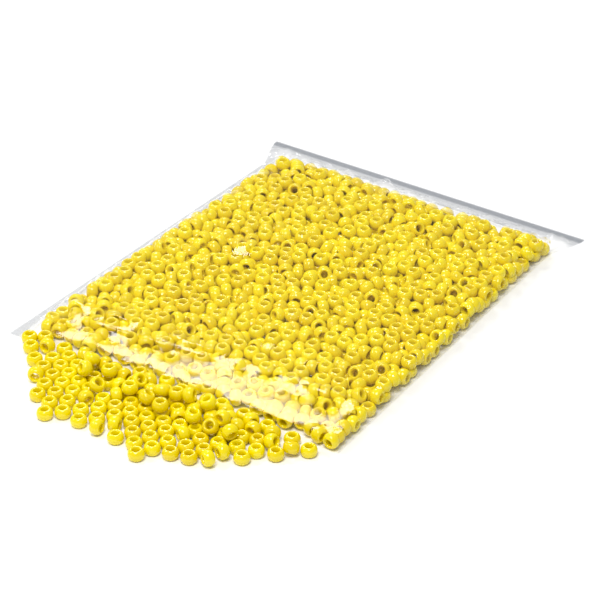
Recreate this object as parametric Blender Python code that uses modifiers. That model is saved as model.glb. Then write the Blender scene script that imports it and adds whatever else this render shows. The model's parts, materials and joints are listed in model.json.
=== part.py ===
"""A clear flat poly bag that lies on a table, full of barrel beads that run out of its open mouth.

X is across the bag, Y runs from the mouth to the sealed end and Z is up.
The origin is the middle of the flat underside.
"""

import math
import random

import bmesh
import bpy
from mathutils import Matrix, Vector

# The bag, in metres
BAG_WIDTH = 0.209  # laid flat, at the sealed end
BAG_LENGTH = 0.252  # from the mouth to the sealed edge
FILM = 0.00035  # thickness of one sheet
SHEET_GAP = 0.0003  # between the two sheets where the bag is empty
SEAL_BAND = 0.008  # heat-sealed strip along the closed end
SEAL_GAP = 0.0001  # what is left between the sheets in that strip
SEAL_STEP = 0.0004  # width of the step from the strip up to the loose film
BACK_MARGIN = 0.018  # empty film between the beads and the sealed edge
FLANGE = 0.0095  # empty film along the left side
LEFT_SLOPE = 0.008  # the film climbs over the beads in this width
RIGHT_SLOPE = 0.005
BACK_SLOPE = 0.012
MOUTH_SLOPE = 0.026
BACK_DRAW = 0.009  # the contents pull each side in by this much behind
MOUTH_DRAW = 0.0027  # and by this much at the mouth
MOUTH_SLACK = 0.0006  # the loose upper sheet stands off the beads at the mouth
SLOPE_STEPS = 4  # facets across each slope of the film
RUN_STEPS = 6  # and across each flat run

# The beads
BEAD_DIAMETER = 0.0087
BEAD_LENGTH = 0.0058
BEAD_RIM = 0.0062  # diameter of the flat end, where the hole's funnel opens
BEAD_HOLE = 0.0038
FUNNEL_DEPTH = 0.0012
BEAD_SIDES = 8
PACKED_SIDES = 6  # the beads of the fill are coarser
PACKED_GAP = 0.0045  # between the beads modelled on top and along the edges of the fill
MOUTH_GAP = 0.0018  # between those in the mouth and on the spill, which are closer
HOLE_UP_SHARE = 0.3  # of the packed beads, the rest lie on their sides
CORE_RIM = 0.0015  # the fill's core reaches this far past its outer bead centres
CORE_LEVEL = 0.56  # how far up its beads the core of a layer comes, as a share of their height
LAYER_INSET = (0.75, 1.0)  # share of a slope that the lower and the upper layer keep clear of
LAYER_NEST = 0.0005  # the upper layer sinks into the lower one by this much
PACKED_PLAY = 0.25  # of the gap: a packed bead is moved off its place by up to this much
SIDE_STEPS = 6  # facets along each side of the core
FRONT_STEPS = 12  # and along its tongue's curved front

# The spill
SPILL_DEPTH = 0.024  # from the mouth to the outermost fused row, in the middle
SPILL_POWER = 1.5  # how pointed the spill is
SPILL_PEAK = 0.43  # where its point lies, as a share of the way from left to right
LOOSE_ROWS = 3
STRAY_SHARE = 0.4  # of the places in the row beyond
LOOSE_PLAY = 0.0009  # most that two beads of the fused row stand apart
LYING_EVERY = 6  # one loose bead in this many lies on its side
LYING_SETTLE = 0.0004  # and lies this much closer to the beads behind it

ROW_SEARCH = 200  # places tried in one bead's width, on the way to the next one of the row

CLEARANCE = 0.0003  # between pieces that touch

BEAD_RADIUS = BEAD_DIAMETER / 2
EMPTY_HEIGHT = 2 * FILM + SHEET_GAP
SEAL_HEIGHT = 2 * FILM + SEAL_GAP
FILL_FLOOR = FILM + CLEARANCE
MOUTH_HEIGHT = FILL_FLOOR + BEAD_LENGTH + CLEARANCE + FILM + MOUTH_SLACK
FILL_TOP = FILL_FLOOR + 2 * BEAD_LENGTH - LAYER_NEST
FULL_HEIGHT = FILL_TOP + CLEARANCE + FILM
MOUTH_Y = -BAG_LENGTH / 2
SEALED_Y = BAG_LENGTH / 2
FILL_BACK_Y = SEALED_Y - BACK_MARGIN
FULL_FRONT_Y = MOUTH_Y + MOUTH_SLOPE
FULL_BACK_Y = FILL_BACK_Y - BACK_SLOPE


def clear_scene():
    for thing in list(bpy.data.objects):
        bpy.data.objects.remove(thing)


def new_collection(name, helper=False):
    group = bpy.data.collections.new(name)
    group.hide_render = helper
    bpy.context.scene.collection.children.link(group)
    return group


def new_material(name, color, roughness, alpha=1.0):
    material = bpy.data.materials.new(name)
    material.use_nodes = True
    shader = material.node_tree.nodes["Principled BSDF"]
    shader.inputs["Base Color"].default_value = (*color, 1.0)
    shader.inputs["Roughness"].default_value = roughness
    shader.inputs["Metallic"].default_value = 0.0
    shader.inputs["Alpha"].default_value = alpha
    return material


def new_object(name, mesh, group, material=None):
    piece = bpy.data.objects.new(name, mesh)
    group.objects.link(piece)
    if material and not mesh.materials:
        mesh.materials.append(material)
    return piece


def hidden(name, mesh, helpers):
    """An object that only serves to be joined to another."""
    piece = new_object(name, mesh, helpers)
    piece.display_type = "WIRE"
    piece.hide_render = True
    return piece


def finished(name, bm):
    """A mesh made from a bmesh, with its faces turned outwards."""
    bmesh.ops.recalc_face_normals(bm, faces=bm.faces)
    mesh = bpy.data.meshes.new(name)
    bm.to_mesh(mesh)
    bm.free()
    return mesh


def smooth(share):
    share = min(max(share, 0.0), 1.0)
    return share * share * (3.0 - 2.0 * share)


def between(low, high, share):
    return low + (high - low) * share


def spaced(low, high, steps):
    return [between(low, high, step / steps) for step in range(steps + 1)]


# The film

def half_width(y):
    """Half the bag's width at y. Its full width is left only at the empty corners behind."""
    draw = between(MOUTH_DRAW, BACK_DRAW, (y - MOUTH_Y) / (FULL_BACK_Y - MOUTH_Y))
    return BAG_WIDTH / 2 - draw * smooth((SEALED_Y - y) / (BACK_MARGIN + BACK_SLOPE))


def film_top(x, y):
    """Height of the upper sheet's outer face."""
    side = half_width(y)
    lift = smooth((x + side - FLANGE) / LEFT_SLOPE)
    lift *= smooth((side - x) / RIGHT_SLOPE)
    lift *= smooth((FILL_BACK_Y - y) / BACK_SLOPE)
    crest = between(MOUTH_HEIGHT, FULL_HEIGHT, smooth((y - MOUTH_Y) / MOUTH_SLOPE))
    flat = SEAL_HEIGHT if y > SEALED_Y - SEAL_BAND else EMPTY_HEIGHT
    return between(flat, crest, lift)


def film_stations():
    """Where sections are taken along Y, closer together where the film bends."""
    return (
        spaced(MOUTH_Y, FULL_FRONT_Y, SLOPE_STEPS)
        + spaced(FULL_FRONT_Y, FULL_BACK_Y, RUN_STEPS)[1:]
        + spaced(FULL_BACK_Y, FILL_BACK_Y, SLOPE_STEPS)[1:]
        + [SEALED_Y - SEAL_BAND, SEALED_Y - SEAL_BAND + SEAL_STEP, SEALED_Y]
    )


def film_section(y):
    """The closed outline of the bag at y: the lower sheet's two edges, then the upper sheet."""
    side = half_width(y)
    foot, shoulder = FLANGE - side, FLANGE + LEFT_SLOPE - side
    columns = (
        [-side]
        + spaced(foot, shoulder, SLOPE_STEPS)
        + spaced(shoulder, side - RIGHT_SLOPE, RUN_STEPS)[1:]
        + spaced(side - RIGHT_SLOPE, side, SLOPE_STEPS)[1:]
    )
    upper = [Vector((x, y, film_top(x, y))) for x in reversed(columns)]
    return [Vector((-side, y, 0)), Vector((side, y, 0))] + upper


def build_film(group, material):
    """A pouch of one skin, closed at the sealed end and thickened inwards."""
    bm = bmesh.new()
    rings = [[bm.verts.new(point) for point in film_section(y)] for y in film_stations()]
    for ring, following in zip(rings, rings[1:]):
        for i in range(len(ring)):
            j = (i + 1) % len(ring)
            bm.faces.new((ring[j], ring[i], following[i], following[j]))
    bm.faces.new(reversed(rings[-1]))
    mesh = bpy.data.meshes.new("bag_film")
    bm.to_mesh(mesh)
    bm.free()
    film = new_object("bag_film", mesh, group, material)
    wall = film.modifiers.new("Wall", "SOLIDIFY")
    wall.thickness = FILM
    wall.offset = -1
    wall.use_even_offset = True
    return film


# The beads

def bead_profile():
    """Half of a bead's section, from the top of the funnel down its outer side and back up the hole."""
    hole_radius, rim = BEAD_HOLE / 2, BEAD_RIM / 2
    return (
        (rim, BEAD_LENGTH),
        (BEAD_RADIUS, BEAD_LENGTH / 2),
        (rim, 0),
        (hole_radius, FUNNEL_DEPTH),
        (hole_radius, BEAD_LENGTH - FUNNEL_DEPTH),
    )


def packed_profile():
    """The same outer side, with the hole as a blind funnel: no more of it shows from above."""
    middle, rim = BEAD_LENGTH / 2, BEAD_RIM / 2
    return (
        (0, middle),
        (BEAD_HOLE / 2, middle),
        (rim, BEAD_LENGTH),
        (BEAD_RADIUS, middle),
        (rim, 0),
        (0, 0),
    )


def rod(name, low_radius, top_radius):
    """A plain stand-in for a bead whose hole is out of sight."""
    bm = bmesh.new()
    bmesh.ops.create_cone(
        bm,
        cap_ends=True,
        segments=PACKED_SIDES,
        radius1=low_radius,
        radius2=top_radius,
        depth=BEAD_LENGTH,
        matrix=Matrix.Translation((0, 0, BEAD_LENGTH / 2)),
    )
    return finished(name, bm)


def turned_bead(name, profile, sides, helpers):
    """The profile turned about Z, its lower end at the origin. One that starts off the axis is a ring."""
    mesh = bpy.data.meshes.new(name + "_profile")
    points = [(radius, 0, z) for radius, z in profile]
    edges = [(i, i + 1) for i in range(len(points) - 1)]
    if points[0][0] > 0:
        edges.append((len(points) - 1, 0))
    mesh.from_pydata(points, edges, [])
    guide = new_object(name + "_guide", mesh, helpers)
    turn = guide.modifiers.new("Turn", "SCREW")
    turn.axis = "Z"
    turn.steps = sides
    turn.render_steps = sides
    turn.use_merge_vertices = True
    turn.merge_threshold = 0.00001
    bpy.context.view_layer.update()
    evaluated = guide.evaluated_get(bpy.context.evaluated_depsgraph_get())
    bead = bpy.data.meshes.new_from_object(evaluated)
    bead.name = name
    bpy.data.objects.remove(guide)
    return bead


def flat_radius(sides):
    """From a bead's axis to the middle of one of its facets."""
    return BEAD_RADIUS * math.cos(math.pi / sides)


def lying(heading, sides):
    """A bead about its middle, on one facet of its side, its hole level and square to heading."""
    facet_down = Matrix.Rotation(math.pi / sides, 4, "Z")
    on_side = Matrix.Rotation(math.pi / 2, 4, "X") @ facet_down
    middle = Matrix.Translation((0, 0, -BEAD_LENGTH / 2))
    return Matrix.Rotation(heading, 4, "Z") @ on_side @ middle


# Where the spilled beads lie

def spill_sides():
    """Where the spill's outermost beads leave the mouth, left and right."""
    side = half_width(MOUTH_Y)
    return layer_left(0, side), layer_right(0, side)


def spill_edge(x):
    """The line of the fused row's bead centres, outside the mouth."""
    left, right = spill_sides()
    peak = between(left, right, SPILL_PEAK)
    across = (x - peak) / ((left if x < peak else right) - peak)
    start = MOUTH_Y - BEAD_RADIUS - CLEARANCE
    return start - SPILL_DEPTH * (1 - min(across, 1) ** SPILL_POWER)


def fused_row(rng):
    """Bead centres along spill_edge, each a little more than one diameter from the last."""
    left, right = spill_sides()
    row = [Vector((left, spill_edge(left)))]
    x = left
    while True:
        reach = BEAD_DIAMETER + CLEARANCE + rng.uniform(0, LOOSE_PLAY)
        while (Vector((x, spill_edge(x))) - row[-1]).length < reach:
            x += reach / ROW_SEARCH
        if x > right:
            return row
        row.append(Vector((x, spill_edge(x))))


def next_row(row):
    """One bead in each hollow on the outer side of a row but the first and the last."""
    reach = BEAD_DIAMETER + CLEARANCE
    found = []
    for first, second in zip(row, row[1:]):
        half = (second - first) / 2
        if half.length >= reach:
            continue
        outward = Vector((half.y, -half.x)).normalized()
        place = first + half + outward * math.sqrt(reach**2 - half.length_squared)
        if not found or (place - found[-1]).length > reach:
            found.append(place)
    return found[1:-1]


def build_loose(rows, rng, group, helpers, material):
    """Every bead beyond the fused row, alone on the floor: most stand on end, a few lie on their sides."""
    mesh = turned_bead("bead", bead_profile(), BEAD_SIDES, helpers)
    middle = Vector((between(*spill_sides(), SPILL_PEAK), MOUTH_Y))
    places = [place for row in rows for place in row]
    for number, place in enumerate(places, 1):
        bead = new_object(f"spilled_bead_{number:02d}", mesh, group, material)
        if number % LYING_EVERY:
            bead.rotation_euler.z = rng.uniform(0, math.pi)
            bead.location = (*place, 0)
        else:
            outward = (place - middle).normalized()
            heading = math.atan2(outward.y, outward.x)
            middle_at = (*(place - outward * LYING_SETTLE), flat_radius(BEAD_SIDES))
            bead.matrix_world = Matrix.Translation(middle_at) @ lying(heading, BEAD_SIDES)


# The fill

def layer_inset(layer, slope):
    """From where the film starts to climb to the outermost bead centres of a layer."""
    return slope * LAYER_INSET[layer] + BEAD_RADIUS


def layer_left(layer, side):
    return FLANGE + layer_inset(layer, LEFT_SLOPE) - side


def layer_right(layer, side):
    return side - layer_inset(layer, RIGHT_SLOPE)


def layer_ends(layer):
    """The least and greatest Y of a layer's bead centres inside the bag."""
    front = (MOUTH_Y + BEAD_RADIUS, FULL_FRONT_Y + BEAD_RADIUS)[layer]
    return front, FILL_BACK_Y - layer_inset(layer, BACK_SLOPE)


def layer_outline(layer):
    """The core's outline in plan: it follows the bag's sides just outside the bead centres."""
    front, back = layer_ends(layer)
    levels = spaced(front - CORE_RIM, back + CORE_RIM, SIDE_STEPS)
    left = [(layer_left(layer, half_width(y)) - CORE_RIM, y) for y in levels]
    right = [(layer_right(layer, half_width(y)) + CORE_RIM, y) for y in levels]
    return left[::-1] + right


def spill_outline(back, depth):
    """The core's tongue in plan, from y = back to the fused row or to depth outside the mouth."""
    left, right = spill_sides()
    columns = spaced(left, right, FRONT_STEPS)
    front = [(x, max(spill_edge(x) - CORE_RIM, MOUTH_Y - depth)) for x in columns]
    return [(left, back)] + front + [(right, back)]


def plate(name, outline, low, high, helpers):
    """A flat outline given a thickness, from z low to z high."""
    bm = bmesh.new()
    face = bm.faces.new([bm.verts.new((x, y, low)) for x, y in outline])
    raised = bmesh.ops.extrude_face_region(bm, geom=[face])["geom"]
    upper = [item for item in raised if isinstance(item, bmesh.types.BMVert)]
    bmesh.ops.translate(bm, verts=upper, vec=(0, 0, high - low))
    return hidden(name, finished(name, bm), helpers)


def lattice(front, back, left, right, gap, rng):
    """Bead centres in staggered rows, each moved a little off its place. left and right take y."""
    pitch = BEAD_DIAMETER + gap
    play = gap * PACKED_PLAY
    rows = max(round((back - front) / (pitch * math.sqrt(3) / 2)), 1)
    found = []
    for number, y in enumerate(spaced(front, back, rows)):
        x = left(y) + (number % 2) * pitch / 2
        while x <= right(y):
            found.append((x + rng.uniform(0, play), y + rng.uniform(0, play)))
            x += pitch
    return found


def upper_beads(on_end, on_side, rng):
    """The upper layer, all at one height: some beads on end, most on their sides."""
    front, back = layer_ends(1)
    play = PACKED_GAP * PACKED_PLAY
    places = lattice(
        front,
        back - play,
        lambda y: layer_left(1, half_width(y)),
        lambda y: layer_right(1, half_width(y)) - play,
        PACKED_GAP,
        rng,
    )
    for x, y in places:
        heading = rng.uniform(0, math.pi)
        if rng.random() < HOLE_UP_SHARE:
            place = Matrix.Translation((x, y, FILL_TOP - BEAD_LENGTH))
            yield on_end, place @ Matrix.Rotation(heading, 4, "Z")
        else:
            place = Matrix.Translation((x, y, FILL_TOP - flat_radius(PACKED_SIDES)))
            yield on_side, place @ lying(heading, PACKED_SIDES)


def edge_beads():
    """The lower layer along the two sides and the back, where the upper one leaves it in view."""
    pitch = BEAD_DIAMETER + PACKED_GAP
    front, back = layer_ends(0)
    places = []
    for y in spaced(front, back, round((back - front) / pitch)):
        side = half_width(y)
        places += [(layer_left(0, side), y), (layer_right(0, side), y)]
    left, right = (edge(0, half_width(back)) for edge in (layer_left, layer_right))
    places += [(x, back) for x in spaced(left, right, round((right - left) / pitch))[1:-1]]
    return [(x, y, FILL_FLOOR) for x, y in places]


def mouth_beads(row, rng):
    """The lower layer from the upper one's front, over the lip, to the fused row and with it."""
    left, right = spill_sides()
    pitch = BEAD_DIAMETER + MOUTH_GAP
    found = [(*place, 0) for place in row]
    places = lattice(
        spill_edge(between(left, right, SPILL_PEAK)) + pitch,
        FULL_FRONT_Y - BEAD_RADIUS - CLEARANCE,
        lambda y: left + pitch,
        lambda y: right - pitch,
        MOUTH_GAP,
        rng,
    )
    for x, y in places:
        apart = min((place - Vector((x, y))).length for place in row)
        if y > spill_edge(x) and apart > BEAD_DIAMETER + CLEARANCE:
            floor = 0 if y < MOUTH_Y - BEAD_RADIUS - CLEARANCE else FILL_FLOOR
            found.append((x, y, floor))
    return found


def standing(bead, places, rng):
    """The bead on end at each place, turned at random."""
    for place in places:
        yield bead, Matrix.Translation(place) @ Matrix.Rotation(rng.uniform(0, math.pi), 4, "Z")


def gathered(name, placed, helpers):
    """Copies of bead meshes in one hidden object, from pairs of a mesh and its matrix."""
    bm = bmesh.new()
    for bead, matrix in placed:
        copy = bead.copy()
        copy.transform(matrix)
        bm.from_mesh(copy)
        bpy.data.meshes.remove(copy)
    return hidden(name, finished(name, bm), helpers)


def build_fill(row, rng, group, helpers, material):
    """The beads in the bag as one heap: a core in two layers and a tongue, and the beads that show."""
    lip = MOUTH_Y - CLEARANCE
    inside = MOUTH_Y + BEAD_DIAMETER
    level = BEAD_LENGTH * CORE_LEVEL
    lower_top = FILL_FLOOR + level
    upper_top = FILL_TOP - BEAD_LENGTH + level
    core = plate("bead_fill", layer_outline(0), FILL_FLOOR, lower_top, group)
    core.hide_render = False
    core.display_type = "TEXTURED"
    core.data.materials.append(material)
    on_end = turned_bead("packed_bead", packed_profile(), PACKED_SIDES, helpers)
    on_side = rod("side_bead", BEAD_RADIUS, BEAD_RADIUS)
    plain = rod("plain_bead", BEAD_RADIUS, BEAD_RIM / 2)
    joined = (
        plate("core_upper", layer_outline(1), lower_top - level / 2, upper_top, helpers),
        plate("core_tongue", spill_outline(lip, BAG_LENGTH), 0, level, helpers),
        plate("core_bridge", spill_outline(inside, BEAD_DIAMETER), FILL_FLOOR, lower_top, helpers),
        gathered("edge_beads", standing(plain, edge_beads(), rng), helpers),
        gathered("mouth_beads", standing(on_end, mouth_beads(row, rng), rng), helpers),
        gathered("upper_beads", upper_beads(on_end, on_side, rng), helpers),
    )
    for piece in joined:
        join = core.modifiers.new("Join " + piece.name, "BOOLEAN")
        join.operation = "UNION"
        join.solver = "EXACT"
        join.object = piece


def main():
    clear_scene()
    rng = random.Random(4)
    group = new_collection("flat_poly_bag")
    helpers = new_collection("helpers", helper=True)
    clear = new_material("clear_film", (0.86, 0.88, 0.90), 0.12, alpha=0.3)
    yellow = new_material("yellow_bead", (0.84, 0.62, 0.01), 0.22)
    build_film(group, clear)
    rows = [fused_row(rng)]
    for _ in range(LOOSE_ROWS):
        rows.append(next_row(rows[-1]))
    strays = [place for place in next_row(rows[-1]) if rng.random() < STRAY_SHARE]
    build_fill(rows[0], rng, group, helpers, yellow)
    build_loose(rows[1:] + [strays], rng, group, helpers, yellow)


main()
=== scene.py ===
"""A flat clear bag of yellow barrel beads that have run out of its open mouth, on a white floor."""

import json
import math
import random

import bmesh
import bpy
import numpy as np
from mathutils import Matrix, Vector

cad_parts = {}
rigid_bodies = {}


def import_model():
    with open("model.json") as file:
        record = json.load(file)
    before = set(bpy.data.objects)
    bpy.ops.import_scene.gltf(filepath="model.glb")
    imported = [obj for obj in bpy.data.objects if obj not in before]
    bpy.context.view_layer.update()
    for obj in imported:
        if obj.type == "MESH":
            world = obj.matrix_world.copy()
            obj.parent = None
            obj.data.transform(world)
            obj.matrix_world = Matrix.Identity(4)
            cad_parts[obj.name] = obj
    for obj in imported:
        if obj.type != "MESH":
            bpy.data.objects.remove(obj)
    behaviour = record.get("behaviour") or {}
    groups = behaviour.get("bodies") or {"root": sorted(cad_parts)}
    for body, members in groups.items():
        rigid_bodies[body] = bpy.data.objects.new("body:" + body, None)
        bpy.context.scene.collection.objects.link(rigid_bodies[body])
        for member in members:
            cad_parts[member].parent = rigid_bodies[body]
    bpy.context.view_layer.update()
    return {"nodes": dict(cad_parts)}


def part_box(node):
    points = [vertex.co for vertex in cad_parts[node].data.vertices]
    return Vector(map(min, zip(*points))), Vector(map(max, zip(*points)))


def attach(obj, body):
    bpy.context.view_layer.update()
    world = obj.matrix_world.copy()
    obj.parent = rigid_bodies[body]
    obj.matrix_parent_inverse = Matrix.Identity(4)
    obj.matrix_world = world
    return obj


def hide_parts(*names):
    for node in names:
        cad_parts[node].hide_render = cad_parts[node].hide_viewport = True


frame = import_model()

# The bag, in metres, as in the part's source
BAG_WIDTH = 0.209
BAG_LENGTH = 0.252
BACK_MARGIN = 0.018
BACK_SLOPE = 0.012
BACK_DRAW = 0.009
MOUTH_DRAW = 0.0027
MOUTH_SLOPE = 0.026
FLANGE = 0.0095
LEFT_SLOPE = 0.008
RIGHT_SLOPE = 0.005
SEAL_BAND = 0.008
FULL_HEIGHT = 0.0124
MOUTH_HEIGHT = 0.0077
MOUTH_Y = -BAG_LENGTH / 2
SEALED_Y = BAG_LENGTH / 2
FILL_BACK_Y = SEALED_Y - BACK_MARGIN
FULL_FRONT_Y = MOUTH_Y + MOUTH_SLOPE
FULL_BACK_Y = FILL_BACK_Y - BACK_SLOPE

FILL_INSET = 0.33  # share of each slope of the film that the heap keeps clear of
RIGHT_GAP = 0.0008  # between the heap and the film's right edge
ON_SHEET = 0.0004  # lowest that a bead in the bag reaches
HEAP_BACK_Y = FILL_BACK_Y - FILL_INSET * BACK_SLOPE
LID_GAP = 0.0006  # between the film and the lid that presses the beads down
LID_SHIFTS = (0.4, 0.8, 0.2)  # how far the lid stands beyond the left, right and back slopes, as shares
LID_OPENING = 1.3  # how steeply the lid rises outside the mouth

# The beads
BEAD_RADIUS = 0.00435
BEAD_LENGTH = 0.0058
BEAD_HOLE = 0.0018  # radius
BEAD_SEGMENTS = 20
HULL_SIDES = 10
LYING_HEIGHT = 0.007  # a loose bead whose box is higher than this lies on its side
TILT_ON_END = 0.16  # spread of the tilt of a bead that is let go on end, in radians
TILT_ON_SIDE = 0.3
LOOSE = [name for name in frame["nodes"] if name.startswith("spilled_bead")]
BEADS_PER_PIECE = 300

# The spill, as in the part's source
SPILL_DEPTH = 0.024
SPILL_POWER = 1.5
SPILL_PEAK = 0.43
SPILL_INSET = 0.75  # share of the side slopes that the spill keeps clear of
SPILL_HEART = -0.012  # the lying loose beads point away from this place on the mouth
SPILL_FRONT = MOUTH_Y - 0.036  # no bead lies beyond this line
CLEAR_OF_LOOSE = 0.0074  # between a bead that is let go and a loose bead
CLOSEST = 0.0081  # a bead is added where none lies within this distance
SEARCH_STEP = 0.0015
THROWN_OUT = 0.006  # a bead this far beyond the spill's edge doesn't belong to the heap
HEAP_TOP = 0.0125  # and neither does one whose middle is above this

# The settling of the beads, worked out at a larger scale
SCALE = 200.0
FRAMES = 110
LOWER_DROP = 0.0046  # heights from which the two layers are let go
UPPER_DROP = 0.0138
LID_DROP = 0.012
WALL_FOOT, WALL_TOP = -0.002, 0.03

rng = random.Random(12)
noise = np.random.default_rng(12)


# Plan of the bag

def smooth(share):
    """0 to 1 with a soft start and a soft end."""
    share = np.clip(share, 0.0, 1.0)
    return share * share * (3.0 - 2.0 * share)


def half_width(y):
    """From the middle of the bag to its side: the beads draw the film in."""
    share = (y - MOUTH_Y) / (FULL_BACK_Y - MOUTH_Y)
    draw = MOUTH_DRAW + (BACK_DRAW - MOUTH_DRAW) * share
    return BAG_WIDTH / 2 - draw * smooth((SEALED_Y - y) / (BACK_MARGIN + BACK_SLOPE))


def fill_sides(y):
    """Where the heap ends on the left and on the right at y."""
    side = half_width(np.maximum(y, MOUTH_Y))
    return -side + FLANGE, side - RIGHT_GAP


def lid_height(x, y):
    """Under the film: it falls off towards the bag's sides and back, and rises again outside the mouth."""
    side = half_width(np.maximum(y, MOUTH_Y))
    rise = smooth((y - MOUTH_Y) / MOUTH_SLOPE)
    crest = MOUTH_HEIGHT + (FULL_HEIGHT - MOUTH_HEIGHT) * rise - LID_GAP
    left, right, back = LID_SHIFTS
    lift = smooth((x + side - FLANGE) / LEFT_SLOPE + left) * smooth((side - x) / RIGHT_SLOPE + right)
    lift = lift * smooth((FILL_BACK_Y - y) / BACK_SLOPE + back)
    return np.maximum(crest * lift, BEAD_LENGTH + LID_GAP) + np.maximum(MOUTH_Y - y, 0) * LID_OPENING


# Beads

def bead_section():
    """Outer side, rounded rim, funnel and hole, as radius and height."""
    half = BEAD_LENGTH / 2
    upper = [
        (BEAD_RADIUS, 0.0),
        (0.00420, 0.00115),
        (0.00378, 0.00205),
        (0.00322, 0.00264),
        (0.00268, half),
        (0.00228, 0.00272),
        (0.00198, 0.00210),
        (BEAD_HOLE, 0.00100),
    ]
    lower = [(radius, -z) for radius, z in reversed(upper[1:])]
    return upper + lower


def bead_mesh():
    """One bead, turned from its section."""
    section = bead_section()
    bm = bmesh.new()
    rings = []
    for step in range(BEAD_SEGMENTS):
        turn = 2 * math.pi * step / BEAD_SEGMENTS
        rings.append(
            [bm.verts.new((r * math.cos(turn), r * math.sin(turn), z)) for r, z in section]
        )
    for ring, following in zip(rings, rings[1:] + rings[:1]):
        for i in range(len(section)):
            j = (i + 1) % len(section)
            face = bm.faces.new((ring[i], following[i], following[j], ring[j]))
            face.smooth = True
    bmesh.ops.recalc_face_normals(bm, faces=bm.faces)
    mesh = bpy.data.meshes.new("bead")
    bm.to_mesh(mesh)
    bm.free()
    return mesh


def hull_mesh():
    """A bead without its hole, enlarged for the settling."""
    profile = ((0.0032, -0.0029), (0.0042, -0.0016), (BEAD_RADIUS, 0), (0.0042, 0.0016), (0.0032, 0.0029))
    bm = bmesh.new()
    for radius, z in profile:
        for step in range(HULL_SIDES):
            turn = 2 * math.pi * step / HULL_SIDES
            point = (radius * math.cos(turn), radius * math.sin(turn), z)
            bm.verts.new([value * SCALE for value in point])
    bmesh.ops.convex_hull(bm, input=bm.verts)
    mesh = bpy.data.meshes.new("settling_bead")
    bm.to_mesh(mesh)
    bm.free()
    return mesh


def random_turn(on_end=0.4):
    """Mostly on its side or on end, a little tilted."""
    spin = Matrix.Rotation(rng.uniform(0, 2 * math.pi), 4, "Z")
    if rng.random() < on_end:
        tilt = rng.gauss(0, TILT_ON_END)
    else:
        tilt = math.pi / 2 + rng.gauss(0, TILT_ON_SIDE)
    return spin @ Matrix.Rotation(tilt, 4, "X")


def in_place(place):
    """False for a bead that was thrown out of the heap."""
    spot = place.translation
    left, right = fill_sides(spot.y)
    inside = left < spot.x < right and spot.y > spill_edge(spot.x) - THROWN_OUT
    return inside and spot.z < HEAP_TOP


def loose_places():
    """A matrix for every loose bead of the CAD model, from its box."""
    places = []
    for name in LOOSE:
        low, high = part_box(name)
        centre, size = (low + high) / 2, high - low
        spin = Matrix.Rotation(rng.uniform(0, 2 * math.pi), 4, "Z")
        if size.z > LYING_HEIGHT:
            heading = math.atan2(centre.y - MOUTH_Y, centre.x - SPILL_HEART)
            side = Matrix.Rotation(heading, 4, "Z") @ Matrix.Rotation(math.pi / 2, 4, "X")
            places.append(Matrix.Translation((centre.x, centre.y, BEAD_RADIUS)) @ side)
        else:
            places.append(Matrix.Translation((centre.x, centre.y, BEAD_LENGTH / 2)) @ spin)
    return places


def spill_edge(x):
    """Where the beads that are modelled together end, outside the mouth; the loose ones lie beyond."""
    side = half_width(MOUTH_Y)
    left = FLANGE + SPILL_INSET * LEFT_SLOPE + BEAD_RADIUS - side
    right = side - SPILL_INSET * RIGHT_SLOPE - BEAD_RADIUS
    peak = left + (right - left) * SPILL_PEAK
    across = (x - peak) / ((left if x < peak else right) - peak)
    return MOUTH_Y - BEAD_RADIUS - SPILL_DEPTH * (1 - min(across, 1) ** SPILL_POWER)


def clear_of(x, y, places, distance):
    """True where no bead of the places is nearer than the distance, seen from above."""
    return all(math.hypot(x - p.translation.x, y - p.translation.y) > distance for p in places)


def lattice(front, back, inset, pitch, play):
    """Staggered places within the heap's sides, each moved a little off its place."""
    places = []
    for row, y in enumerate(np.arange(front, back, pitch * 0.87)):
        left, right = fill_sides(y)
        for x in np.arange(left + inset + (row % 2) * pitch / 2, right - inset, pitch):
            places.append((x + rng.uniform(-play, play), y + rng.uniform(-play, play)))
    return places


def first_places(loose):
    """Where the beads are let go: two layers in the bag and a heap that thins out on the spill."""
    places = []
    for x, y in lattice(SPILL_FRONT, HEAP_BACK_Y - 0.003, inset=0.0045, pitch=0.0089, play=0.0006):
        if y > spill_edge(x) - 0.002 and clear_of(x, y, loose, CLEAR_OF_LOOSE):
            turn = random_turn(0.8 if y < MOUTH_Y - 0.008 else 0.35)
            places.append(Matrix.Translation((x, y, LOWER_DROP)) @ turn)
    for x, y in lattice(MOUTH_Y - 0.024, HEAP_BACK_Y - 0.006, inset=0.0062, pitch=0.0094, play=0.0008):
        share = 0.95 * smooth((y - spill_edge(x) - 0.004) / 0.026)
        if rng.random() < share:
            places.append(Matrix.Translation((x, y, UPPER_DROP)) @ random_turn())
    return places


def topped_up(places):
    """The places and, wherever the ground of the spill shows through, one more bead on end."""
    found = list(places)
    for y in np.arange(SPILL_FRONT, MOUTH_Y + 0.010, SEARCH_STEP):
        left, right = fill_sides(y)
        for x in np.arange(left + BEAD_RADIUS, right - BEAD_RADIUS, SEARCH_STEP):
            if y > spill_edge(x) - 0.001 and clear_of(x, y, found, CLOSEST):
                found.append(Matrix.Translation((x, y, BEAD_LENGTH / 2)))
    return found


def wall_mesh():
    """The bag's sides and back, for the settling."""
    levels = np.linspace(MOUTH_Y + 0.002, HEAP_BACK_Y, 14)
    left = [(fill_sides(y)[0], y) for y in levels]
    right = [(fill_sides(y)[1], y) for y in levels]
    line = [(left[0][0], MOUTH_Y - 0.004)] + left + right[::-1] + [(right[0][0], MOUTH_Y - 0.004)]
    points = [(x * SCALE, y * SCALE, z * SCALE) for z in (WALL_FOOT, WALL_TOP) for x, y in line]
    count = len(line)
    faces = [(i, i + 1, count + i + 1, count + i) for i in range(count - 1)]
    mesh = bpy.data.meshes.new("settling_walls")
    mesh.from_pydata(points, [], faces)
    return mesh


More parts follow.
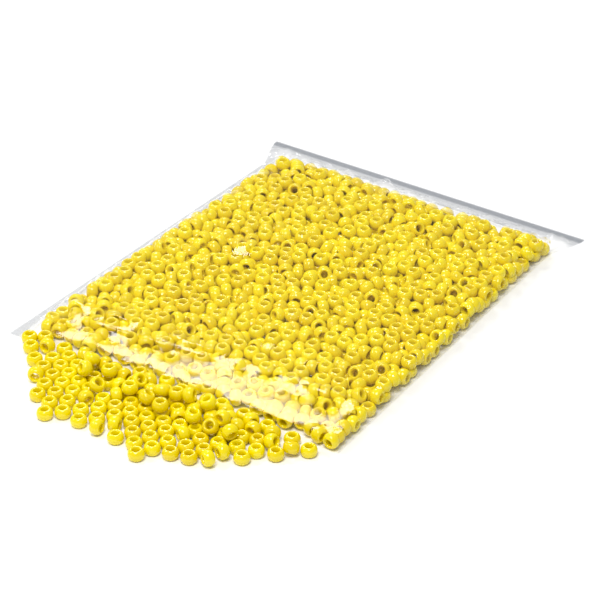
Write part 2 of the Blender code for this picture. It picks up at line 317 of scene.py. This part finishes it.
def lid_mesh():
    """The film's inner face as a weight that comes down on the beads."""
    columns = np.linspace(-0.104, 0.104, 70)
    levels = np.linspace(MOUTH_Y - 0.012, FILL_BACK_Y, 70)
    points = [
        (x * SCALE, y * SCALE, float(lid_height(x, y)) * SCALE) for y in levels for x in columns
    ]
    wide = len(columns)
    faces = [
        (i + j * wide, i + 1 + j * wide, i + 1 + (j + 1) * wide, i + (j + 1) * wide)
        for j in range(len(levels) - 1)
        for i in range(wide - 1)
    ]
    mesh = bpy.data.meshes.new("settling_lid")
    mesh.from_pydata(points, [], faces)
    return mesh


def settled(first, fixed):
    """Drops the beads, presses them under the lid and returns where they come to rest."""
    scene = bpy.context.scene
    group = bpy.data.collections.new("settling")
    scene.collection.children.link(group)
    hull = hull_mesh()
    plane = bpy.data.meshes.new("settling_floor")
    far = 0.4 * SCALE
    plane.from_pydata([(-far, -far, 0), (far, -far, 0), (far, far, 0), (-far, far, 0)], [], [(0, 1, 2, 3)])

    def add(name, mesh, matrix=None):
        """An object of the settling, with its place enlarged."""
        piece = bpy.data.objects.new(name, mesh)
        group.objects.link(piece)
        if matrix is not None:
            moved = matrix.copy()
            moved.translation = matrix.translation * SCALE
            piece.matrix_world = moved
        return piece

    moving = [add(f"moving_{i}", hull, place) for i, place in enumerate(first)]
    held = [add(f"held_{i}", hull, place) for i, place in enumerate(fixed)]
    floor = add("settling_floor", plane)
    walls = add("settling_walls", wall_mesh())
    lid = add("settling_lid", lid_mesh())
    lid.location.z = LID_DROP * SCALE
    lid.keyframe_insert("location", frame=8)
    lid.location.z = 0
    lid.keyframe_insert("location", frame=int(FRAMES * 0.75))
    bpy.ops.rigidbody.world_add()
    world = scene.rigidbody_world
    world.collection = group
    world.substeps_per_frame = 6
    world.solver_iterations = 12
    world.point_cache.frame_end = FRAMES + 1

    def body(pieces, kind, shape):
        """Makes the pieces rigid bodies of one kind."""
        for other in bpy.context.selected_objects:
            other.select_set(False)
        for piece in pieces:
            piece.select_set(True)
        bpy.context.view_layer.objects.active = pieces[0]
        bpy.ops.rigidbody.objects_add(type=kind)
        for piece in pieces:
            piece.rigid_body.collision_shape = shape
            piece.rigid_body.use_margin = True
            piece.rigid_body.collision_margin = 0.0
            piece.rigid_body.friction = 0.25
            piece.rigid_body.restitution = 0.0

    body(moving, "ACTIVE", "CONVEX_HULL")
    body(held, "PASSIVE", "CONVEX_HULL")
    body([floor, walls], "PASSIVE", "MESH")
    body([lid], "PASSIVE", "MESH")
    lid.rigid_body.kinematic = True
    for piece in moving:
        piece.rigid_body.linear_damping = 0.2
        piece.rigid_body.angular_damping = 0.4
    for number in range(1, FRAMES + 1):
        scene.frame_set(number)
    rest = []
    for piece in moving:
        place = piece.matrix_world.copy()
        place.translation = place.translation / SCALE
        rest.append(place)
    bpy.ops.rigidbody.world_remove()
    scene.frame_set(1)
    for piece in list(group.objects):
        bpy.data.objects.remove(piece)
    bpy.data.collections.remove(group)
    return rest


# Materials

def empty_tree(material):
    """The nodes and links of a material that has none yet."""
    material.use_nodes = True
    tree = material.node_tree
    tree.nodes.clear()
    return tree.nodes, tree.links


def noise_texture(nodes, scale, detail):
    """Noise that runs over the whole box of a piece."""
    texture = nodes.new("ShaderNodeTexNoise")
    texture.inputs["Scale"].default_value = scale
    texture.inputs["Detail"].default_value = detail
    return texture


def add_bump(nodes, links, texture, surface, strength, distance):
    """Lets the texture roughen the surface."""
    bump = nodes.new("ShaderNodeBump")
    bump.inputs["Strength"].default_value = strength
    bump.inputs["Distance"].default_value = distance
    links.new(texture.outputs["Fac"], bump.inputs["Height"])
    links.new(bump.outputs["Normal"], surface.inputs["Normal"])


def bead_material():
    """Glossy opaque plastic: a little lighter or deeper from bead to bead."""
    material = bpy.data.materials.new("yellow_bead")
    nodes, links = empty_tree(material)
    out = nodes.new("ShaderNodeOutputMaterial")
    surface = nodes.new("ShaderNodeBsdfPrincipled")
    surface.inputs["Specular IOR Level"].default_value = 0.6
    links.new(surface.outputs["BSDF"], out.inputs["Surface"])
    tone = nodes.new("ShaderNodeAttribute")
    tone.attribute_name = "tone"
    ramp = nodes.new("ShaderNodeValToRGB")
    ramp.color_ramp.elements[0].color = (0.90, 0.69, 0.0, 1)
    ramp.color_ramp.elements[1].color = (1.0, 0.83, 0.0, 1)
    links.new(tone.outputs["Fac"], ramp.inputs["Fac"])
    mottle = noise_texture(nodes, 160, 4)
    shade = nodes.new("ShaderNodeMix")
    shade.data_type = "RGBA"
    shade.blend_type = "MULTIPLY"
    shade.inputs["Factor"].default_value = 0.10
    links.new(ramp.outputs["Color"], shade.inputs["A"])
    links.new(mottle.outputs["Color"], shade.inputs["B"])
    links.new(shade.outputs["Result"], surface.inputs["Base Color"])
    gloss = nodes.new("ShaderNodeMapRange")
    gloss.inputs["To Min"].default_value = 0.05
    gloss.inputs["To Max"].default_value = 0.13
    links.new(mottle.outputs["Fac"], gloss.inputs["Value"])
    links.new(gloss.outputs["Result"], surface.inputs["Roughness"])
    add_bump(nodes, links, noise_texture(nodes, 900, 3), surface, 0.10, 0.00002)
    return material


def film_material():
    """Clear film: mostly seen through, glossy, a little hazy, with a painted shade: a grey tint where the
    two sheets lie flat together.
    """
    material = bpy.data.materials.new("clear_film")
    nodes, links = empty_tree(material)
    out = nodes.new("ShaderNodeOutputMaterial")
    # Painted shade: the see-through part turns grey by the flat attribute, where the film lies low over
    # the white floor.
    flat = nodes.new("ShaderNodeAttribute")
    flat.attribute_name = "flat"
    painted_shade_tint = nodes.new("ShaderNodeValToRGB")
    painted_shade_tint.color_ramp.elements[0].color = (1, 1, 1, 1)
    painted_shade_tint.color_ramp.elements[1].color = (0.76, 0.768, 0.782, 1)
    links.new(flat.outputs["Fac"], painted_shade_tint.inputs["Fac"])
    clear = nodes.new("ShaderNodeBsdfTransparent")
    links.new(painted_shade_tint.outputs["Color"], clear.inputs["Color"])
    haze = nodes.new("ShaderNodeBsdfDiffuse")
    haze.inputs["Color"].default_value = (0.86, 0.87, 0.88, 1)
    cloud = noise_texture(nodes, 45, 5)
    share = nodes.new("ShaderNodeMapRange")
    share.inputs["From Min"].default_value = 0.35
    share.inputs["From Max"].default_value = 0.75
    share.inputs["To Min"].default_value = 0.0
    share.inputs["To Max"].default_value = 0.005
    links.new(cloud.outputs["Fac"], share.inputs["Value"])
    seen = nodes.new("ShaderNodeMixShader")
    links.new(share.outputs["Result"], seen.inputs["Fac"])
    links.new(clear.outputs["BSDF"], seen.inputs[1])
    links.new(haze.outputs["BSDF"], seen.inputs[2])
    shine = nodes.new("ShaderNodeBsdfGlossy")
    shine.inputs["Color"].default_value = (1, 1, 1, 1)
    shine.inputs["Roughness"].default_value = 0.06
    add_bump(nodes, links, noise_texture(nodes, 140, 4), shine, 0.12, 0.0003)
    edge = nodes.new("ShaderNodeLayerWeight")
    edge.inputs["Blend"].default_value = 0.5
    steep = nodes.new("ShaderNodeMath")
    steep.operation = "POWER"
    steep.inputs[1].default_value = 5
    links.new(edge.outputs["Facing"], steep.inputs[0])
    strength = nodes.new("ShaderNodeMapRange")
    strength.inputs["To Min"].default_value = 0.026
    links.new(steep.outputs["Value"], strength.inputs["Value"])
    both = nodes.new("ShaderNodeMixShader")
    links.new(strength.outputs["Result"], both.inputs["Fac"])
    links.new(seen.outputs["Shader"], both.inputs[1])
    links.new(shine.outputs["BSDF"], both.inputs[2])
    links.new(both.outputs["Shader"], out.inputs["Surface"])
    return material


def floor_material():
    """Matt white, so that the floor shows as a white background with the object's shadow."""
    material = bpy.data.materials.new("floor")
    nodes, links = empty_tree(material)
    out = nodes.new("ShaderNodeOutputMaterial")
    surface = nodes.new("ShaderNodeBsdfDiffuse")
    surface.inputs["Color"].default_value = (0.97, 0.97, 0.97, 1)
    links.new(surface.outputs["BSDF"], out.inputs["Surface"])
    return material


# Pieces

def put_in(name, points, faces, material, attributes=()):
    """A smooth mesh object from arrays, with one value per vertex for each attribute."""
    mesh = bpy.data.meshes.new(name)
    mesh.vertices.add(len(points))
    mesh.vertices.foreach_set("co", np.asarray(points, np.float32).ravel())
    mesh.loops.add(faces.size)
    mesh.loops.foreach_set("vertex_index", faces.astype(np.int32).ravel())
    mesh.polygons.add(len(faces))
    mesh.polygons.foreach_set("loop_start", np.arange(0, faces.size, faces.shape[1], dtype=np.int32))
    mesh.polygons.foreach_set("use_smooth", np.ones(len(faces), bool))
    mesh.update(calc_edges=True)
    mesh.validate()
    for key, values in attributes:
        layer = mesh.attributes.new(key, "FLOAT", "POINT")
        layer.data.foreach_set("value", np.asarray(values, np.float32))
    mesh.materials.append(material)
    piece = bpy.data.objects.new(name, mesh)
    bpy.context.scene.collection.objects.link(piece)
    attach(piece, "root")
    return piece


def bead_arrays():
    """The points and the four-cornered faces of one bead."""
    mesh = bead_mesh()
    points = np.array([vertex.co for vertex in mesh.vertices])
    faces = np.array([list(face.vertices) for face in mesh.polygons])
    return points, faces


def bead_cloud(places, points):
    """Every bead's points in one array."""
    turns = np.array([np.array(place.to_3x3()) for place in places])
    spots = np.array([place.translation for place in places])
    return np.einsum("nij,kj->nki", turns, points) + spots[:, None, :]


def build_beads(places, material):
    """The beads in a few pieces, from the back to the front. None reaches into the lower sheet."""
    points, faces = bead_arrays()
    cloud = bead_cloud(places, points)
    floor = np.where(cloud[:, :, 1].mean(axis=1) > MOUTH_Y, ON_SHEET, 0.0)
    cloud[:, :, 2] += np.maximum(floor - cloud[:, :, 2].min(axis=1), 0)[:, None]
    order = np.argsort(-cloud[:, :, 1].mean(axis=1))
    parts = np.array_split(order, math.ceil(len(order) / BEADS_PER_PIECE))
    for number, part in enumerate(parts, 1):
        chosen = cloud[part]
        shifted = faces[None] + (np.arange(len(part)) * len(points))[:, None, None]
        tone = np.repeat(noise.random(len(part)), len(points))
        piece = put_in(
            f"beads_{number}",
            chosen.reshape(-1, 3),
            shifted.reshape(-1, 4),
            material,
            [("tone", tone)],
        )
        if number == len(parts):
            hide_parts(*LOOSE)
        if number == 1:
            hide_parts("bead_fill")
    return cloud


# Film

ACROSS, ALONG = 200, 244
CELL = 0.001  # of the grid that holds the height of the beads
GRID_START = (-0.112, -0.135)
GRID_SPAN = (0.224, 0.27)
LOWER_SHEET = 0.0002  # height of the lower sheet
UPPER_SHEET = 0.0007  # and of the upper one where the bag is empty
OFF_BEADS = 0.0003  # between the beads and the upper sheet
RELAX_STEPS = 900
SAG = 0.000006  # how far the sheet gives between its neighbours in each step
EDGE_ROW = 0.0045  # the film stands as high at its right edge as over the row of beads this far in
EDGE_DRAW = 0.0008  # and is drawn out by this much there, so that it drops outside the beads
EDGE_REACH = 0.0001  # to this far beyond the bag's side


def bead_ceiling(cloud):
    """Where the grid starts, and the highest bead over every square millimetre of it."""
    start = np.array(GRID_START)
    size = (int(GRID_SPAN[0] / CELL), int(GRID_SPAN[1] / CELL))
    grid = np.zeros(size)
    points = cloud.reshape(-1, 3)
    index = np.floor((points[:, :2] - start) / CELL).astype(int)
    inside = (index >= 0).all(axis=1) & (index < size).all(axis=1)
    np.maximum.at(grid, (index[inside, 0], index[inside, 1]), points[inside, 2])
    return start, softened(spread(spread(grid, 7), -5), 16)


def spread(grid, reach):
    """The highest value within reach cells, or the lowest where reach is negative."""
    sign, reach = (1, reach) if reach > 0 else (-1, -reach)
    size = grid.shape
    padded = np.pad(grid * sign, reach, mode="edge")
    found = grid * sign
    for i in range(2 * reach + 1):
        for j in range(2 * reach + 1):
            if (i - reach) ** 2 + (j - reach) ** 2 <= (reach + 0.5) ** 2:
                found = np.maximum(found, padded[i : i + size[0], j : j + size[1]])
    return found * sign


def softened(grid, times):
    """The grid with each cell drawn towards its neighbours' mean, several times."""
    for _ in range(times):
        padded = np.pad(grid, 1, mode="edge")
        around = padded[2:, 1:-1] + padded[:-2, 1:-1] + padded[1:-1, 2:] + padded[1:-1, :-2]
        grid = grid / 2 + around / 8
    return grid


def sampled(start, grid, x, y):
    """The grid's values at the given places."""
    i = np.clip(((x - start[0]) / CELL).astype(int), 0, grid.shape[0] - 1)
    j = np.clip(((y - start[1]) / CELL).astype(int), 0, grid.shape[1] - 1)
    return grid[i, j]


def film_plan():
    """The film's grid in plan: across from left to right, along from the mouth to the seal."""
    share = np.linspace(0, 1, ALONG)
    across = np.linspace(-1, 1, ACROSS)
    y = MOUTH_Y + BAG_LENGTH * share
    yy = np.repeat(y[:, None], ACROSS, 1)
    xx = across[None, :] * half_width(yy)
    return xx, yy


# Flat facets of the loose sheet at the mouth, each given by its corners seen from above
FACETS = (
    ((-0.080, -0.127), (-0.008, -0.1235), (-0.030, -0.117), (-0.073, -0.1185)),
    ((0.001, -0.1235), (0.0096, -0.102), (-0.0073, -0.103)),
    ((0.0095, -0.125), (0.078, -0.1235), (0.0951, -0.119), (0.053, -0.105), (0.013, -0.1065)),
    ((0.081, -0.081), (0.0935, -0.094), (0.097, -0.089)),
)


def inside_facets(x, y):
    """1 on the flat facets of the mouth, 0 from 2 mm outside them."""
    found = np.zeros_like(x)
    for corners in FACETS:
        depth = np.full_like(x, 1.0)
        for (ax, ay), (bx, by) in zip(corners, corners[1:] + corners[:1]):
            length = math.hypot(bx - ax, by - ay)
            depth = np.minimum(depth, ((bx - ax) * (y - ay) - (by - ay) * (x - ax)) / length)
        found = np.maximum(found, np.clip(1 + depth / 0.002, 0, 1))
    return found


def crumple(x, y):
    """Sharp shallow folds in several directions, as in stiff film."""
    total = np.zeros_like(x)
    for angle, pitch, height, shift in (
        (0.25, 0.021, 0.0007, 0.3),
        (1.15, 0.016, 0.0006, 1.1),
        (2.20, 0.027, 0.0008, 0.2),
        (2.80, 0.012, 0.0003, 0.7),
    ):
        run = (x * math.cos(angle) + y * math.sin(angle)) / pitch + shift
        run = run + 0.18 * np.sin(x * 55 + angle * 3) + 0.15 * np.sin(y * 70 + angle)
        total += height * (1 - np.abs((run % 1.0) * 2 - 1) * 2)
    return total


def taut_mouth(x, y):
    """The loose upper sheet at the mouth: it falls away at one slope, flat in places, else crumpled."""
    share = (y - MOUTH_Y) / MOUTH_SLOPE
    lift = smooth((x + half_width(y) - FLANGE) / 0.012)
    sheet = MOUTH_HEIGHT + 0.0002 + (FULL_HEIGHT - MOUTH_HEIGHT) * share
    sheet = sheet + (1 - inside_facets(x, y)) * (crumple(x, y) - 0.0002)
    return np.where(share < 1.1, sheet * lift, 0)


def film_heights(x, y, cloud):
    """The upper sheet drawn over the beads, like a skin that sags a little between them."""
    start, grid = bead_ceiling(cloud)
    side = half_width(y)
    on_fill = smooth((side - x) / 0.004)
    full = y < FILL_BACK_Y - BACK_SLOPE / 2
    beneath = np.where(full, np.minimum(x, side - EDGE_ROW), x)
    obstacle = np.maximum(UPPER_SHEET, sampled(start, grid, beneath, y) + OFF_BEADS)
    obstacle = np.maximum(obstacle, taut_mouth(x, y) * on_fill)
    held = (x < -side + FLANGE * 0.7) | (x > side - RIGHT_GAP) | (y > SEALED_Y - SEAL_BAND)
    z = obstacle.copy()
    z[held] = UPPER_SHEET
    for _ in range(RELAX_STEPS):
        next_z = z.copy()
        next_z[1:-1, 1:-1] = (z[2:, 1:-1] + z[:-2, 1:-1] + z[1:-1, 2:] + z[1:-1, :-2]) / 4 - SAG
        next_z[0] = next_z[1]
        next_z = np.maximum(next_z, obstacle)
        next_z[held] = UPPER_SHEET
        z = next_z
    mouth = smooth((FULL_FRONT_Y + 0.012 - y) / 0.01)
    calm = softened(z, 10) * (1 - mouth) + softened(z, 1) * mouth
    calm = np.where(x > side - EDGE_ROW, np.maximum(calm, obstacle), calm)
    return np.where(held, z, calm)


def ridge(x, y, start, end, width, height):
    """A soft crease from start to end that fades towards both."""
    along = np.array(end) - np.array(start)
    length = math.hypot(*along)
    along = along / length
    run = ((x - start[0]) * along[0] + (y - start[1]) * along[1]) / length
    off = (y - start[1]) * along[0] - (x - start[0]) * along[1]
    return height * np.exp(-((off / width) ** 2)) * smooth(run / 0.3) * smooth((1 - run) / 0.3)


def folds(x, y):
    """Creases: fans at the back corners, short ones across the empty margins, two along the mouth."""
    lift = np.zeros_like(x)
    for sign in (-1, 1):
        corner = (sign * 0.1, SEALED_Y - 0.007)
        for angle in (182, 203, 219, 238, 256, 272):
            turn = math.radians(angle if sign > 0 else 180 - angle)
            reach = noise.uniform(0.018, 0.040)
            end = (corner[0] + reach * math.cos(turn), corner[1] + reach * math.sin(turn))
            lift += ridge(x, y, corner, end, 0.0018, noise.uniform(0.0010, 0.0024))
    for _ in range(34):
        spot = noise.uniform(MOUTH_Y + 0.004, SEALED_Y - 0.02)
        start = (-half_width(spot) + 0.0005, spot)
        end = (start[0] + noise.uniform(0.008, 0.015), spot + noise.uniform(-0.009, 0.009))
        lift += ridge(x, y, start, end, noise.uniform(0.001, 0.003), noise.uniform(0.0003, 0.0014))
    for _ in range(30):
        spot = noise.uniform(-0.09, 0.095)
        start = (spot, SEALED_Y - SEAL_BAND + 0.001)
        end = (spot + noise.uniform(-0.014, 0.014), start[1] - noise.uniform(0.008, 0.018))
        lift += ridge(x, y, start, end, noise.uniform(0.001, 0.003), noise.uniform(0.0005, 0.0018))
    lift += ridge(x, y, (-0.070, -0.1085), (0.024, -0.1030), 0.0007, 0.0006)
    lift += ridge(x, y, (0.044, -0.0940), (0.103, -0.0985), 0.0007, 0.0006)
    return lift


def grid_faces(rows, columns):
    """Four-cornered faces of a sheet of points."""
    index = np.arange(rows * columns).reshape(rows, columns)
    return np.stack(
        [index[:-1, :-1], index[:-1, 1:], index[1:, 1:], index[1:, :-1]], axis=-1
    ).reshape(-1, 4)


def build_film(cloud, material):
    """Both sheets, with the mouth a little askew and a grey painted shade where the bag is empty."""
    x, y = film_plan()
    z = film_heights(x, y, cloud) + folds(x, y)
    side = half_width(y)
    drawn_out = np.minimum(x + EDGE_DRAW * smooth((x - side + 0.002) / 0.001), side + EDGE_REACH)
    x = np.where((x > side - 0.003) & (y < 0.105), drawn_out, x)
    skew = (y < 0) * (x / 0.1 * 0.0026) * smooth(-y / 0.12)
    # Painted shade: how grey the film is tinted where it lies low, full within 4.5 mm of the seal and 0.45
    # elsewhere.
    flat = (1 - smooth((z - 0.0012) / 0.004)) * np.where(y > SEALED_Y - 0.0045, 1, 0.45)
    points = np.stack([x, y + skew, z], axis=-1).reshape(-1, 3)
    under = points.copy()
    under[:, 2] = LOWER_SHEET
    faces = grid_faces(ALONG, ACROSS)
    upper = put_in("film_upper", points, faces, material, [("flat", flat.ravel())])
    lower = put_in("film_lower", under, faces, material, [("flat", flat.ravel())])
    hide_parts("bag_film")


# Setting

FLOOR_REACH = 4


def build_setting():
    """The white floor, the even light of the room and three lamps."""
    floor = bpy.data.meshes.new("floor")
    far = FLOOR_REACH
    floor.from_pydata([(-far, -far, 0), (far, -far, 0), (far, far, 0), (-far, far, 0)], [], [(0, 1, 2, 3)])
    floor.materials.append(floor_material())
    ground = bpy.data.objects.new("floor", floor)
    bpy.context.scene.collection.objects.link(ground)
    world = bpy.data.worlds.new("studio")
    bpy.context.scene.world = world
    world.use_nodes = True
    world.node_tree.nodes["Background"].inputs["Color"].default_value = (1, 1, 1, 1)
    world.node_tree.nodes["Background"].inputs["Strength"].default_value = 0.36
    for name, spot, size, power in (
        ("softbox", (-0.71, 0.75, 1.10), 0.42, 7.0),
        ("overhead", (0.20, -0.55, 1.30), 0.55, 13.0),
        ("side", (-0.95, -0.55, 0.95), 0.30, 3.6),
    ):
        data = bpy.data.lights.new(name, "AREA")
        data.size = size
        data.energy = power
        lamp = bpy.data.objects.new(name, data)
        lamp.location = spot
        lamp.rotation_euler = Vector(spot).to_track_quat("Z", "Y").to_euler()
        bpy.context.scene.collection.objects.link(lamp)


def build_camera():
    """A long lens that looks down about 32 degrees, from the right of the mouth."""
    data = bpy.data.cameras.new("camera")
    data.sensor_width = 36
    data.lens = 150
    camera = bpy.data.objects.new("camera", data)
    camera.location = (0.644, -0.9655, 0.715)
    down = math.radians(32)
    view = Vector((-0.5568 * math.cos(down), 0.8306 * math.cos(down), -math.sin(down)))
    camera.rotation_euler = view.to_track_quat("-Z", "Y").to_euler()
    bpy.context.scene.collection.objects.link(camera)
    bpy.context.scene.camera = camera


for extra in [piece for piece in bpy.data.objects if piece.name in ("Cube", "Light", "Camera")]:
    bpy.data.objects.remove(extra)
loose = loose_places()
first = first_places(loose)
rest = [place for place in settled(first, loose) if in_place(place)]
cloud = build_beads(topped_up(rest + loose), bead_material())
build_film(cloud, film_material())
build_setting()
build_camera()
bpy.context.scene.view_settings.view_transform = "Standard"
